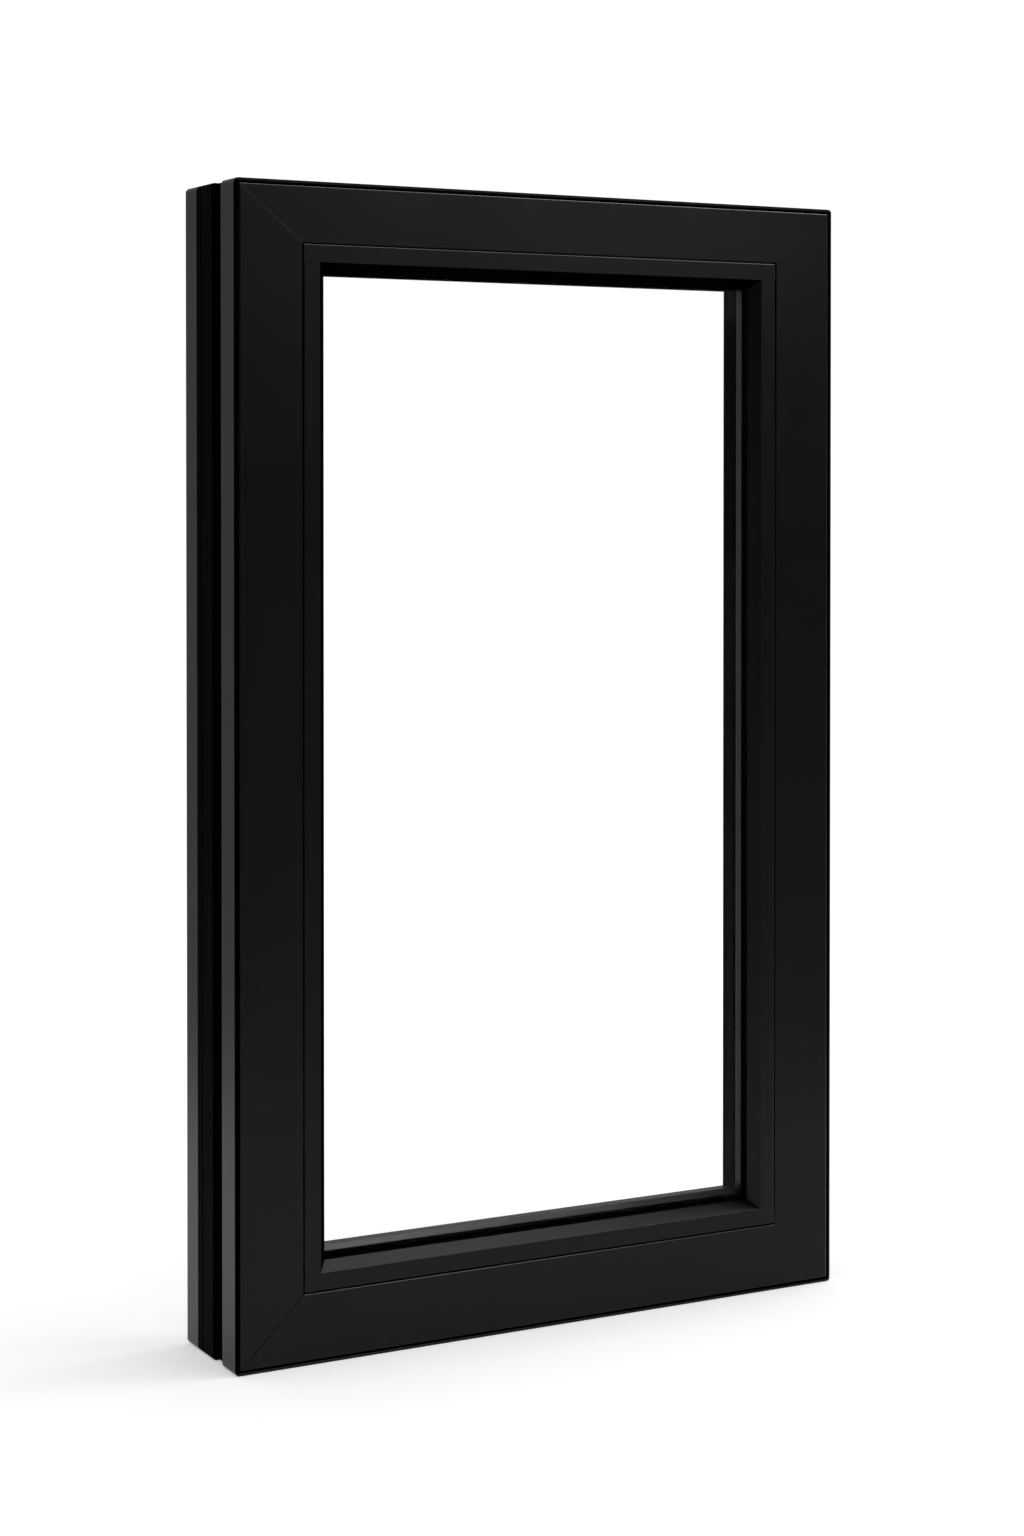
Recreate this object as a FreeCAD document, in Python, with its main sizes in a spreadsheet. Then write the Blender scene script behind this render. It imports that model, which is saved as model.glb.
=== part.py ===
import FreeCAD, Part
import math
import os
import Sketcher

# Fixed picture window: one sealed glass unit in a thermally broken metal frame.
# X runs along the width, Y from the front face to the back, Z up.
# The origin is the middle of the sill's underside.

doc = FreeCAD.newDocument("PictureWindow")
sheet = doc.addObject("Spreadsheet::Sheet", "Sizes")

SIZES = [
    ("overall_width", 457.2, "outside width of the frame"),
    ("overall_height", 762.0, "outside height of the frame"),
    ("overall_depth", 82.55, "front face to back face"),
    ("jamb_face", 47.3, "jamb, perimeter to bead seam"),
    ("sill_face", 46.3, "sill, perimeter to bead seam"),
    ("head_face", 39.5, "head, perimeter to bead seam"),
    ("corner_round", 3.5, "radius of the outside corners seen from the front"),
    ("metal_wall", 1.8, "wall of the frame profiles"),
    ("edge_round", 0.8, "radius of the frame's long edges"),
    ("rim_width", 2.4, "width of the outer rim"),
    ("rim_setback", 0.2, "rim behind the face"),
    ("rim_round", 1.1, "radius of the rim's two edges"),
    ("groove_width", 0.8, "shadow groove between rim and face"),
    ("groove_depth", 4.0, "groove below the rim"),
    ("face_round", 1.2, "radius of the face's outer edge"),
    ("seam_round", 0.7, "radius of the face's edge at the bead"),
    ("front_depth", 22.2, "front chamber, face to slot"),
    ("slot_width", 16.1, "installation slot round the perimeter"),
    ("slot_depth", 9.0, "depth of the installation slot"),
    ("lip_depth", 12.4, "front to back of the fixed glazing lip"),
    ("sill_dam", 2.9, "sill lip above the sight line, to hold water back"),
    ("dam_run", 3.6, "front to back of the slope up to that height"),
    ("chamber_step", 3.0, "middle chamber behind the lip"),
    ("rib_thickness", 1.5, "ribs that grip the insulating strips"),
    ("rib_height", 2.0, "height of those ribs"),
    ("back_depth", 19.45, "front to back of the rear shell"),
    ("back_width", 34.0, "perimeter to the inner side of the rear shell"),
    ("strip_thickness", 2.0, "insulating strips"),
    ("strip_recess", 0.3, "outer strip below the perimeter"),
    ("ridge_width", 1.2, "ridge along the outer strip"),
    ("ridge_height", 0.25, "height of that ridge"),
    ("ridge_setback", 5.4, "ridge to the rear end of the strip"),
    ("inner_strip_setback", 3.0, "inner strip to the inner side of the rear shell"),
    ("bead_seam", 0.8, "gap between frame and bead"),
    ("bead_face", 11.5, "flat front of the bead"),
    ("bead_bevel", 6.1, "width of the bead's slope"),
    ("bead_depth", 8.2, "front to back of the bead"),
    ("bead_wall", 1.3, "wall of the bead"),
    ("bead_round", 0.8, "radius of the bead's front edge"),
    ("bead_joint", 0.15, "gap where two beads meet"),
    ("foot_place", 4.2, "face to the bead's snap foot"),
    ("foot_thickness", 1.2, "thickness of the snap foot"),
    ("foot_reach", 0.8, "snap foot inside the frame wall"),
    ("foot_play", 0.1, "play round the snap foot"),
    ("seal_thickness", 6.0, "front seal, bead to glass"),
    ("seal_width", 6.0, "width of the front seal"),
    ("seal_inset", 0.3, "seals back from the sight line"),
    ("seal_round", 0.6, "radius of the seals' visible edge"),
    ("rear_seal_thickness", 1.5, "rear seal, glass to lip"),
    ("rear_seal_width", 6.5, "width of the rear seal"),
    ("pane_thickness", 4.0, "one pane of glass"),
    ("pane_chamfer", 0.5, "ground edge of a pane"),
    ("cavity", 7.0, "space between the panes"),
    ("glass_bite", 12.0, "glass edge inside the sight line"),
    ("spacer_setback", 0.4, "spacer inside the sight line"),
    ("spacer_width", 6.5, "spacer across the cavity's edge"),
    ("spacer_wall", 0.7, "wall of the spacer tube"),
    ("block_length", 60.0, "setting block along the sill"),
    ("block_edge", 80.0, "setting block's centre from the glass edge"),
    ("block_width", 14.0, "setting block front to back"),
    ("cleat_leg", 15.0, "leg of a corner cleat"),
    ("cleat_thickness", 7.2, "thickness of a corner cleat"),
    ("cleat_width", 12.0, "corner cleat front to back"),
    ("cleat_round", 2.5, "radius of the corner cleat's outer corner"),
]

for row, (alias, number, meaning) in enumerate(SIZES, start=1):
    sheet.set("A%d" % row, alias)
    sheet.set("B%d" % row, str(number))
    sheet.set("C%d" % row, meaning)
    sheet.setAlias("B%d" % row, alias)
doc.recompute()


class Size:
    """A length in mm together with the sheet formula that it comes from."""

    def __init__(self, value, text):
        self.value = value
        self.text = text

    def __add__(self, other):
        other = as_size(other)
        return Size(self.value + other.value, "(%s + %s)" % (self.text, other.text))

    def __sub__(self, other):
        other = as_size(other)
        return Size(self.value - other.value, "(%s - %s)" % (self.text, other.text))

    def __mul__(self, other):
        other = as_size(other)
        return Size(self.value * other.value, "(%s * %s)" % (self.text, other.text))

    def __truediv__(self, other):
        other = as_size(other)
        return Size(self.value / other.value, "(%s / %s)" % (self.text, other.text))

    def __neg__(self):
        return Size(-self.value, "(0 - %s)" % self.text)


def as_size(number):
    if isinstance(number, Size):
        return number
    return Size(float(number), repr(float(number)))


def size(alias):
    return Size(float(sheet.get(alias)), "Sizes." + alias)


NOTHING = as_size(0)

width = size("overall_width")
height = size("overall_height")
depth = size("overall_depth")
wall = size("metal_wall")
edge_round = size("edge_round")
corner_round = size("corner_round")

# Distances inward from the perimeter, drawn for a jamb.
face_start = size("rim_width") + size("groove_width")
pocket_floor = size("jamb_face")
bead_start = pocket_floor + size("bead_seam")
bead_edge = bead_start + size("bead_face")
sight = bead_edge + size("bead_bevel")
rebate = sight - pocket_floor
glass_edge = sight - size("glass_bite")
spacer_edge = sight - size("spacer_setback")
spacer_outside = spacer_edge - size("spacer_width")
slot_floor = size("slot_depth")

# Distances back from the front face, which lies half the depth before the origin.
front_plane = -(depth / 2)
front_end = size("front_depth")
slot_end = front_end + size("slot_width")
bead_back = size("bead_depth")
glass_front = bead_back + size("seal_thickness")
cavity_front = glass_front + size("pane_thickness")
cavity_back = cavity_front + size("cavity")
glass_back = cavity_back + size("pane_thickness")
lip_front = glass_back + size("rear_seal_thickness")
lip_back = lip_front + size("lip_depth")
chamber_back = lip_back + size("chamber_step")
shell_front = depth - size("back_depth")

# The four sides of the frame. A bar is drawn as the sill lies, with its length along X
# and its inside up, then turned about Y to its own side. Each side gives its turn, length,
# place, and the side that it meets at its -X end and at its +X end.
SIDES = {
    "sill": (0, width, NOTHING, NOTHING, "left_jamb", "right_jamb"),
    "head": (180, width, NOTHING, height, "right_jamb", "left_jamb"),
    "left_jamb": (90, height, -(width / 2), height / 2, "head", "sill"),
    "right_jamb": (-90, height, width / 2, height / 2, "sill", "head"),
}
FACES = {
    "sill": size("sill_face"),
    "head": size("head_face"),
    "left_jamb": pocket_floor,
    "right_jamb": pocket_floor,
}


def on_side(side, inward):
    """Where a step of the jamb's section lies on another side.

    Head and sill are the jamb's section made narrower, so that every step
    between the groove and the bead seam meets its neighbour on the mitre line.
    """
    if "jamb" in side or inward.value <= face_start.value:
        return inward
    if inward.value > pocket_floor.value:
        return FACES[side] + (inward - pocket_floor)
    if inward.value == pocket_floor.value:
        return FACES[side]
    share = (FACES[side] - face_start) / (pocket_floor - face_start)
    return face_start + (inward - face_start) * share


def section_on(side, corners):
    """A section's corners with their inward distances moved to one side."""
    return [(corner[0], on_side(side, corner[1])) + corner[2:] for corner in corners]


def origin_plane(body, role):
    for feature in body.Origin.OriginFeatures:
        if feature.Role == role:
            return feature
    raise RuntimeError("no plane " + role)


def vector(point):
    return FreeCAD.Vector(point[0].value, point[1].value, 0)


def toward(corner, other, radius):
    """The point one radius away from a corner, along an axis toward another corner."""
    step_x = other[0].value - corner[0].value
    step_y = other[1].value - corner[1].value
    if abs(step_x) > abs(step_y):
        if step_x > 0:
            return (corner[0] + radius, corner[1])
        return (corner[0] - radius, corner[1])
    if step_y > 0:
        return (corner[0], corner[1] + radius)
    return (corner[0], corner[1] - radius)


class Drawing:
    """A sketch whose lines and arcs are held by the sheet's sizes."""

    def __init__(self, body, name, role):
        self.sketch = body.newObject("Sketcher::SketchObject", name)
        self.sketch.AttachmentSupport = [(origin_plane(body, role), "")]
        self.sketch.MapMode = "FlatFace"
        self.geometry = []
        self.rules = []
        self.formulas = []

    def add(self, curve):
        self.geometry.append(curve)
        return len(self.geometry) - 1

    def rule(self, *words):
        self.rules.append(Sketcher.Constraint(*words))

    def driven(self, length, *words):
        self.formulas.append((len(self.rules), length.text))
        self.rules.append(Sketcher.Constraint(*words, length.value))

    def hold(self, curve, end, point):
        """Fix one end of a line at a point of the section."""
        if point[0] is NOTHING:
            self.rule("PointOnObject", curve, end, -2)
        else:
            self.driven(point[0], "DistanceX", -1, 1, curve, end)
        if point[1] is NOTHING:
            self.rule("PointOnObject", curve, end, -1)
        else:
            self.driven(point[1], "DistanceY", -1, 1, curve, end)

    def round_corner(self, before, here, start, end, centre, radius):
        """Join two lines with an arc that runs from start to end."""
        first = math.atan2(start[1].value - centre.y, start[0].value - centre.x)
        last = math.atan2(end[1].value - centre.y, end[0].value - centre.x)
        circle = Part.Circle(centre, FreeCAD.Vector(0, 0, 1), radius.value)
        if (last - first) % (2 * math.pi) < math.pi:
            bend = self.add(Part.ArcOfCircle(circle, first, last))
            near, far = 1, 2
        else:
            bend = self.add(Part.ArcOfCircle(circle, last, first))
            near, far = 2, 1
        self.rule("Coincident", bend, near, before, 2)
        self.rule("Coincident", bend, far, here, 1)
        self.driven(radius, "Radius", bend)

    def outline(self, corners):
        """A closed outline; a corner is (across, up) or (across, up, radius)."""
        count = len(corners)
        starts = []
        ends = []
        for index, corner in enumerate(corners):
            if len(corner) == 3:
                ends.append(toward(corner, corners[index - 1], corner[2]))
                starts.append(toward(corner, corners[(index + 1) % count], corner[2]))
            else:
                ends.append(corner)
                starts.append(corner)
        lines = []
        for index in range(count):
            after = (index + 1) % count
            segment = Part.LineSegment(vector(starts[index]), vector(ends[after]))
            lines.append(self.add(segment))
        for index, corner in enumerate(corners):
            before = lines[index - 1]
            here = lines[index]
            self.hold(here, 1, starts[index])
            if len(corner) == 3:
                self.hold(before, 2, ends[index])
                centre = vector(starts[index]) + vector(ends[index]) - vector(corner)
                self.round_corner(
                    before, here, ends[index], starts[index], centre, corner[2])
            else:
                self.rule("Coincident", before, 2, here, 1)

    def finish(self):
        self.sketch.addGeometry(self.geometry, False)
        self.sketch.addConstraint(self.rules)
        for number, text in self.formulas:
            self.sketch.setExpression("Constraints[%d]" % number, text)
        return self.sketch


def box_outline(near, far, low, high, radius=None):
    """Corners of a rectangle, rounded if a radius is given."""
    corners = [(near, low), (far, low), (far, high), (near, high)]
    if radius is not None:
        corners = [corner + (radius,) for corner in corners]
    return corners


def new_body(node):
    body = doc.addObject("PartDesign::Body", node)
    body.Label = node
    return body


def place(body, across, back, up):
    body.setExpression("Placement.Base.x", across.text)
    body.setExpression("Placement.Base.y", (front_plane + back).text)
    body.setExpression("Placement.Base.z", up.text)


def place_on_side(body, side):
    turn, length, across, up = SIDES[side][:4]
    body.Placement.Rotation = FreeCAD.Rotation(FreeCAD.Vector(0, 1, 0), turn)
    place(body, across, NOTHING, up)


def pad_bar(body, node, length, outlines):
    """Extrude one section with its chambers, half of the length to each side."""
    drawing = Drawing(body, node + "_section", "YZ_Plane")
    for corners in outlines:
        drawing.outline(corners)
    pad = body.newObject("PartDesign::Pad", node + "_bar")
    pad.Profile = drawing.finish()
    pad.Midplane = True
    pad.setExpression("Length", length.text)
    doc.recompute()


def cut_through(body, node, drawing):
    """Pocket a drawing right through, and make sure that it took something off."""
    before = body.Shape.Volume
    pocket = body.newObject("PartDesign::Pocket", node + "_ends")
    pocket.Profile = drawing.finish()
    pocket.Type = "ThroughAll"
    pocket.Midplane = True
    doc.recompute()
    if body.Shape.Volume > before - 1e-6:
        raise RuntimeError("nothing cut from " + node)


def mitre_waste(drawing, side, sign):
    """Draw what lies beyond the mitre at one end of a side's bar.

    The mitre runs from the rounded corner of the frame to the groove at 45 degrees,
    on to the corner of the bead seam, and at 45 degrees again across the rebate.
    """
    length = SIDES[side][1]
    other = SIDES[side][5] if sign > 0 else SIDES[side][4]
    half = length / 2
    ease = corner_round * (1 - math.sqrt(0.5))
    spare = wall

    def at(along, inward):
        across = half - along
        return (across if sign > 0 else -across, inward)

    path = [at(ease, ease), at(face_start, face_start), at(FACES[other], FACES[side])]
    if side == "sill":
        top = FACES[side] + rebate + size("sill_dam") + spare
        path.append(at(FACES[other] + rebate, FACES[side] + rebate))
        path.append(at(FACES[other] + rebate, top))
    else:
        top = FACES[side] + rebate + spare
        path.append(at(FACES[other] + rebate + spare, top))
    path.append(at(-spare, top))
    path.append(at(-spare, -spare))
    path.append(at(corner_round, -spare))
    path.append(at(corner_round, NOTHING))
    lines = []
    for near, far in zip(path, path[1:]):
        lines.append(drawing.add(Part.LineSegment(vector(near), vector(far))))
    for index, line in enumerate(lines):
        drawing.hold(line, 1, path[index])
        if index > 0:
            drawing.rule("Coincident", lines[index - 1], 2, line, 1)
    drawing.hold(lines[-1], 2, path[-1])
    centre = vector(at(corner_round, corner_round))
    drawing.round_corner(lines[-1], lines[0], path[-1], path[0], centre, corner_round)


def mitred_bar(side, piece, outlines):
    """One section cut to meet its neighbours on the corner line."""
    node = side + "_" + piece
    body = new_body(node)
    pad_bar(body, node, SIDES[side][1], [section_on(side, corners) for corners in outlines])
    drawing = Drawing(body, node + "_mitres", "XZ_Plane")
    mitre_waste(drawing, side, 1)
    mitre_waste(drawing, side, -1)
    cut_through(body, node, drawing)
    place_on_side(body, side)
    return body


# Front section: face, shadow groove, front chamber, slot wall, glazing pocket and lip.
# A section's points are (back from the face, inward from the perimeter).
rim_front = size("rim_setback")
groove_floor = rim_front + size("groove_depth")
rib = size("rib_thickness")
rib_height = size("rib_height")
strip = size("strip_thickness")
strip_outside = size("strip_recess")
strip_foot_end = slot_end + strip
back_width = size("back_width")
inner_strip_end = back_width - size("inner_strip_setback")
inner_strip = inner_strip_end - strip
foot_play = size("foot_play")
foot_low = size("foot_place")
foot_high = foot_low + size("foot_thickness")
foot_tip = pocket_floor - size("foot_reach")


def front_sections(side):
    """The front section and its three chambers; the sill's lip slopes up to a dam."""
    lip_edge = sight
    lip_nose = [(lip_front, sight, edge_round)]
    if side == "sill":
        lip_edge = sight + size("sill_dam")
        lip_nose = [(lip_front, sight), (lip_front + size("dam_run"), lip_edge)]
    outside = [
        (rim_front, NOTHING, size("rim_round")),
        (rim_front, size("rim_width"), size("rim_round")),
        (groove_floor, size("rim_width")),
        (groove_floor, face_start),
        (NOTHING, face_start, size("face_round")),
        (NOTHING, pocket_floor, size("seam_round")),
        (foot_low - foot_play, pocket_floor),
        (foot_low - foot_play, foot_tip - foot_play),
        (foot_high + foot_play, foot_tip - foot_play),
        (foot_high + foot_play, pocket_floor),
        (lip_front, pocket_floor),
        *lip_nose,
        (lip_back, lip_edge, edge_round),
        (lip_back, pocket_floor),
        (chamber_back, pocket_floor),
        (chamber_back, inner_strip_end + rib),
        (chamber_back + rib, inner_strip_end + rib),
        (chamber_back + rib, inner_strip_end),
        (chamber_back, inner_strip_end),
        (chamber_back, inner_strip),
        (chamber_back + rib, inner_strip),
        (chamber_back + rib, inner_strip - rib),
        (chamber_back, inner_strip - rib),
        (chamber_back, slot_floor),
        (strip_foot_end + rib, slot_floor),
        (strip_foot_end + rib, slot_floor - rib_height),
        (strip_foot_end, slot_floor - rib_height),
        (strip_foot_end, slot_floor),
        (slot_end, slot_floor),
        (slot_end, slot_floor - rib_height),
        (slot_end - rib, slot_floor - rib_height),
        (slot_end - rib, slot_floor),
        (front_end, slot_floor),
        (front_end, NOTHING),
    ]
    front_chamber = [
        (groove_floor + wall, wall),
        (groove_floor + wall, face_start + wall),
        (wall, face_start + wall, edge_round),
        (wall, pocket_floor - wall, edge_round),
        (front_end - wall, pocket_floor - wall),
        (front_end - wall, wall),
    ]
    middle_chamber = box_outline(
        front_end, chamber_back - wall, slot_floor + wall, pocket_floor - wall)
    lip_chamber = box_outline(
        lip_front + wall, lip_back - wall, pocket_floor, sight - wall)
    return [outside, front_chamber, middle_chamber, lip_chamber]


# Rear shell: a hollow bar with ribs that hold the two insulating strips.
shell_outside = [
    (shell_front, NOTHING),
    (depth, NOTHING, edge_round),
    (depth, back_width, edge_round),
    (shell_front, back_width),
    (shell_front, inner_strip_end + rib),
    (shell_front - rib, inner_strip_end + rib),
    (shell_front - rib, inner_strip_end),
    (shell_front, inner_strip_end),
    (shell_front, inner_strip),
    (shell_front - rib, inner_strip),
    (shell_front - rib, inner_strip - rib),
    (shell_front, inner_strip - rib),
    (shell_front, strip_outside + strip + rib),
    (shell_front - rib, strip_outside + strip + rib),
    (shell_front - rib, strip_outside + strip),
    (shell_front, strip_outside + strip),
]
shell_chamber = box_outline(shell_front + wall, depth - wall, wall, back_width - wall)

# Outer insulating strip: its foot closes the slot, its skin lies near the perimeter.
ridge_end = shell_front - size("ridge_setback")
ridge_start = ridge_end - size("ridge_width")
ridge_top = strip_outside - size("ridge_height")
outer_strip = [
    (slot_end, strip_outside),
    (ridge_start, strip_outside),
    (ridge_start, ridge_top),
    (ridge_end, ridge_top),
    (ridge_end, strip_outside),
    (shell_front, strip_outside),
    (shell_front, strip_outside + strip),
    (strip_foot_end, strip_outside + strip),
    (strip_foot_end, slot_floor),
    (slot_end, slot_floor),
]
inner_strip_section = box_outline(chamber_back, shell_front, inner_strip, inner_strip_end)

# Seals, spacer and edge sealant of the glass unit.
seal_edge = sight - size("seal_inset")
front_seal_root = seal_edge - size("seal_width")
rear_seal_root = seal_edge - size("rear_seal_width")
seal_round = size("seal_round")
front_seal = [
    (bead_back, front_seal_root),
    (glass_front, front_seal_root),
    (glass_front, seal_edge),
    (bead_back, seal_edge, seal_round),
]
rear_seal = [
    (glass_back, rear_seal_root),
    (lip_front, rear_seal_root),
    (lip_front, seal_edge, seal_round),
    (glass_back, seal_edge),
]
spacer_wall = size("spacer_wall")
spacer_tube = box_outline(cavity_front, cavity_back, spacer_outside, spacer_edge)
spacer_hollow = box_outline(
    cavity_front + spacer_wall, cavity_back - spacer_wall,
    spacer_outside + spacer_wall, spacer_edge - spacer_wall)
edge_sealant = box_outline(cavity_front, cavity_back, glass_edge, spacer_outside)

MITRED = {
    "back_shell": [shell_outside, shell_chamber],
    "outer_strip": [outer_strip],
    "inner_strip": [inner_strip_section],
    "front_seal": [front_seal],
    "rear_seal": [rear_seal],
    "spacer": [spacer_tube, spacer_hollow],
    "edge_sealant": [edge_sealant],
}
nodes = []
for side in SIDES:
    nodes.append(mitred_bar(side, "face", front_sections(side)))
for piece, outlines in MITRED.items():
    for side in SIDES:
        nodes.append(mitred_bar(side, piece, outlines))

# Snap-in glazing beads. The head and sill beads run from jamb to jamb and the jamb
# beads are coped over their slope.
bead_wall = size("bead_wall")
bead_outside = [
    (NOTHING, bead_start, size("bead_round")),
    (NOTHING, bead_edge),
    (bead_back, sight),
    (bead_back, bead_start),
    (foot_high, bead_start),
    (foot_high, foot_tip),
    (foot_low, foot_tip),
    (foot_low, bead_start),
]
bead_hollow = [
    (bead_wall, bead_start + bead_wall),
    (bead_wall, bead_edge - bead_wall / 2),
    (bead_back - bead_wall, sight - bead_wall * 2),
    (bead_back - bead_wall, bead_start + bead_wall),
]
bead_joint = size("bead_joint")


def cope_waste(drawing, side, sign):
    """Draw what lies beyond the neighbour's slope at one end of a jamb bead."""
    other = SIDES[side][5] if sign > 0 else SIDES[side][4]
    half = SIDES[side][1] / 2
    top = half - on_side(other, bead_edge) - bead_joint
    tail = top - size("bead_bevel")
    spare = bead_wall

    def at(across, back):
        return (across if sign > 0 else -across, back)

    drawing.outline([
        at(top, NOTHING),
        at(tail, bead_back),
        at(tail, bead_back + spare),
        at(half + spare, bead_back + spare),
        at(half + spare, -spare),
        at(top, -spare),
    ])


for side in SIDES:
    node = side + "_bead"
    body = new_body(node)
    outlines = [section_on(side, bead_outside), section_on(side, bead_hollow)]
    if side in ("sill", "head"):
        pad_bar(body, node, width - bead_start * 2, outlines)
    else:
        pad_bar(body, node, SIDES[side][1], outlines)
        drawing = Drawing(body, node + "_copes", "XY_Plane")
        cope_waste(drawing, side, 1)
        cope_waste(drawing, side, -1)
        cut_through(body, node, drawing)
    place_on_side(body, side)
    nodes.append(body)

# Panes of the sealed unit, with ground edges.
pane_half = width / 2 - glass_edge
pane_bottom = on_side("sill", glass_edge)
pane_top = height - on_side("head", glass_edge)
for node, front in (("front_pane", glass_front), ("rear_pane", cavity_back)):
    body = new_body(node)
    drawing = Drawing(body, node + "_outline", "XZ_Plane")
    drawing.outline(box_outline(-pane_half, pane_half, pane_bottom, pane_top))
    pad = body.newObject("PartDesign::Pad", node + "_sheet")
    pad.Profile = drawing.finish()
    pad.Reversed = True
    pad.setExpression("Length", size("pane_thickness").text)
    doc.recompute()
    chamfer = body.newObject("PartDesign::Chamfer", node + "_arris")
    rims = []
    for number, edge in enumerate(pad.Shape.Edges, start=1):
        if abs(edge.Vertexes[0].Y - edge.Vertexes[-1].Y) < 1e-6:
            rims.append("Edge%d" % number)
    chamfer.Base = (pad, rims)
    chamfer.setExpression("Size", size("pane_chamfer").text)
    place(body, NOTHING, front, NOTHING)
    doc.recompute()
    nodes.append(body)

# Setting blocks carry the glass unit on the sill's pocket floor.
block_middle = (glass_front + glass_back) / 2
block_near = block_middle - size("block_width") / 2
block_far = block_middle + size("block_width") / 2
block_offset = pane_half - size("block_edge")
block_section = section_on(
    "sill", box_outline(block_near, block_far, pocket_floor, glass_edge))
for hand, across in (("left", -block_offset), ("right", block_offset)):
    node = hand + "_setting_block"
    body = new_body(node)
    pad_bar(body, node, size("block_length"), [block_section])
    place(body, across, NOTHING, NOTHING)
    nodes.append(body)

# Corner cleats: angles on the slot floor that tie each pair of profiles.
slot_middle = (front_end + slot_end - rib) / 2
leaf = size("cleat_thickness")
leg = size("cleat_leg") - leaf


def cleat_corners(side, level):
    """The angle's outline at the corner of a jamb and the head or sill."""
    jamb_floor = on_side(side, slot_floor)
    level_floor = on_side(level, slot_floor)

    def at(inward, rise):
        across = width / 2 - inward
        if side == "left_jamb":
            across = -across
        return (across, height - rise if level == "head" else rise)

    return [
        at(jamb_floor - leaf, level_floor - leaf) + (size("cleat_round"),),
        at(jamb_floor + leg, level_floor - leaf),
        at(jamb_floor + leg, level_floor),
        at(jamb_floor, level_floor),
        at(jamb_floor, level_floor + leg),
        at(jamb_floor - leaf, level_floor + leg),
    ]


for hand in ("left", "right"):
    for end, level in (("bottom", "sill"), ("top", "head")):
        node = "%s_%s_cleat" % (end, hand)
        body = new_body(node)
        drawing = Drawing(body, node + "_angle", "XZ_Plane")
        drawing.outline(cleat_corners(hand + "_jamb", level))
        pad = body.newObject("PartDesign::Pad", node + "_plate")
        pad.Profile = drawing.finish()
        pad.Midplane = True
        pad.setExpression("Length", size("cleat_width").text)
        place(body, NOTHING, slot_middle, NOTHING)
        nodes.append(body)

doc.recompute()
for item in doc.Objects:
    if "Invalid" in item.State or "Error" in item.State:
        raise RuntimeError("%s did not build" % item.Label)
for body in nodes:
    shape = body.Shape
    if shape.isNull() or not shape.isValid() or len(shape.Solids) != 1:
        raise RuntimeError("%s is not one sound solid" % body.Label)

os.makedirs("parts", exist_ok=True)
for body in nodes:
    body.Shape.exportStep("parts/%s.step" % body.Label)
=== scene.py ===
import math

import bpy
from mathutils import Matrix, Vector


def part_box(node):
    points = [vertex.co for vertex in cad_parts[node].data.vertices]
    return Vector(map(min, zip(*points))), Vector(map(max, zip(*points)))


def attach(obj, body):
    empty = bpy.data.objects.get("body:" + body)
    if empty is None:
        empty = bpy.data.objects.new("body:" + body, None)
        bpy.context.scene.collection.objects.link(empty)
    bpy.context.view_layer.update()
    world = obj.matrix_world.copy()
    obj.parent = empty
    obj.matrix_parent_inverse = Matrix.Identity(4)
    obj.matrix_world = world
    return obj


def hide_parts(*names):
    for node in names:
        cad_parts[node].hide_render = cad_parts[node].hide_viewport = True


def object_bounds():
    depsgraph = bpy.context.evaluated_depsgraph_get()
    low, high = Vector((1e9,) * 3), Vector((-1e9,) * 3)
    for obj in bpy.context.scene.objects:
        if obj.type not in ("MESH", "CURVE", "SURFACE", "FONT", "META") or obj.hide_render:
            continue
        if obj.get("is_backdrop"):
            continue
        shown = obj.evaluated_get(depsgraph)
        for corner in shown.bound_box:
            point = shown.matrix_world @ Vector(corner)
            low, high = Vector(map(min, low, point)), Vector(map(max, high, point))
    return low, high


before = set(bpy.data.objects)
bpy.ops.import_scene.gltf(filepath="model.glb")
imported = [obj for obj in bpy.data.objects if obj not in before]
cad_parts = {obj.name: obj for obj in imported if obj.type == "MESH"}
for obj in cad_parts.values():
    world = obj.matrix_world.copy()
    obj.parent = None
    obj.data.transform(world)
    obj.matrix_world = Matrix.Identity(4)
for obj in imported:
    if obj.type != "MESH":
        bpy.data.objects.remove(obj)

bl_info = {
    "name": "Fixed window with snap-in beads",
    "version": (1, 0, 0),
    "blender": (4, 5, 0),
    "location": "View3D > Sidebar > Window",
    "description": "Dresses a metal framed fixed window and sets up its studio",
    "category": "Object",
}

SIDES = ("sill", "head", "left_jamb", "right_jamb")
MILLIMETRE = 0.001

# The front section: the rim's width with its groove, how far back both reach, and
# how far back the rim's crest and the small front edges lie.
RIM = 3.2 * MILLIMETRE
GROOVE = 4.4 * MILLIMETRE
CREST = 0.5 * MILLIMETRE
FRONT_EDGE = 1.3 * MILLIMETRE

# Easing: points that are welded, faces that count as one plane, edges that count as
# cut, and the smallest edge that is left.
WELD = 0.002 * MILLIMETRE
ONE_PLANE = math.radians(0.6)
CUT_EDGE = math.radians(35)
SPECK = 0.03 * MILLIMETRE

# Coats that are the same on frame and beads: a near black without gloss that is painted
# shade on faces in recesses or turned from the lights, and the roughness of a glossier
# coat that paints highlights on edges.
PAINTED_SHADE_COLOUR = "#020202"
PAINTED_HIGHLIGHT_ROUGHNESS = 0.24

# The stage, in metres and degrees.
FLOOR_SIZE = 30
FLOOR_DIMS_OVER = (0.35, 1.3)
FLOOR_LIFTS_OVER = (0.2, 0.9)
TOP_LIGHT = ((1.0, -0.2, 2.3), 1.1)
FRONT_LIGHT = ((1.2, -2.2, 1.3), 1.0)
WHITE_BACKDROP = 1.04
TOWARD_CAMERA = (-0.26, -0.96, 0.1)
CAMERA_PLACE = (-0.92139, -1.69386, 0.56947)
CAMERA_PITCH = 90 - 0.807
CAMERA_TURN = -28.376
LENS = 66.07
LENS_SHIFT = (-0.0003, -0.1607)

LOW, HIGH = (Vector(corner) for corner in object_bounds())
MIDDLE = (LOW + HIGH) / 2


# Finishes and lights that a user would change.

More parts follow.
